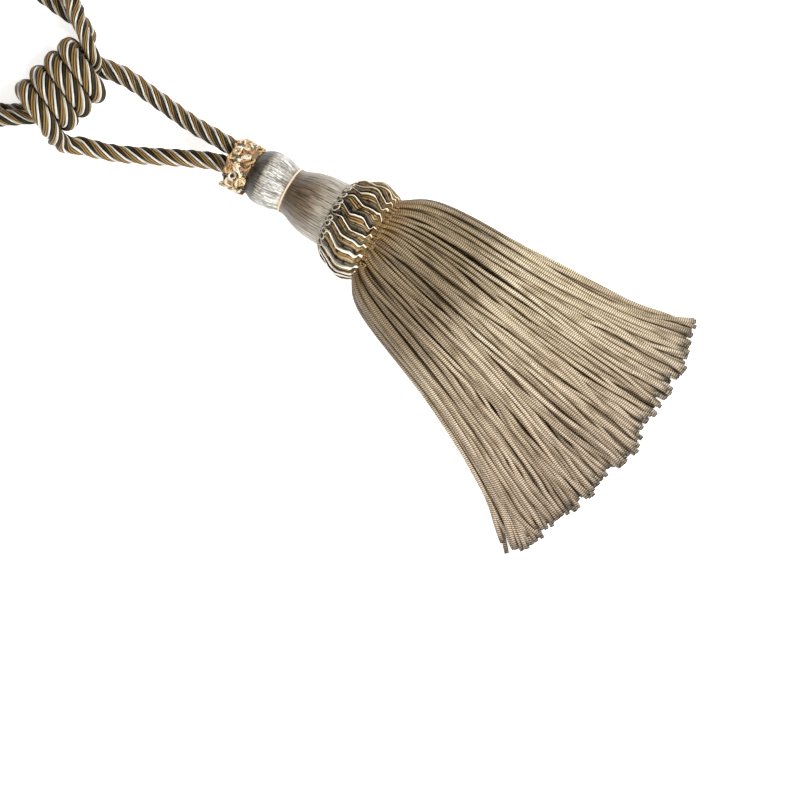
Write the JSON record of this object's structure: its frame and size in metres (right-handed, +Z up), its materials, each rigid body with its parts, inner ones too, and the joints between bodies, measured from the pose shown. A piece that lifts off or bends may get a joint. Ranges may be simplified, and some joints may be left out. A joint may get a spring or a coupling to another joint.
{
  "type": "curtain tieback tassel",
  "caption": "Curtain tieback: a doubled twisted rope with an eye at each end, tied with a barrel knot to a tassel with a turned mould, a corded ruff and a long cut skirt.",
  "frame": {"origin": "on the surface that the tassel lies on, under the middle of the tassel's own box from the collar to the skirt ends, without the ropes", "axes": "+Y from the skirt ends towards the knot and the embrace, +Z up from the surface, +X to the right seen from above"},
  "size_m": [0.1954, 0.6027, 0.0517],
  "materials": {
    "rope": "twisted viscose cord, cream, gold and olive brown plies, satin",
    "satin": "lengthwise viscose thread over a turned mould, silver beige, satin",
    "gold": "gold coloured thread, satin",
    "ruff": "looped and twisted cords, cream, gold and brown, satin",
    "skirt": "knitted viscose chainette, beige, soft sheen"
  },
  "bodies": {
    "root": {"embrace_upper": "rope", "embrace_lower": "rope", "tassel_rope": "rope", "mould": "satin", "waist_thread": "gold", "collar": "ruff", "ruff": "ruff", "skirt": "skirt"}
  },
  "joints": []
}
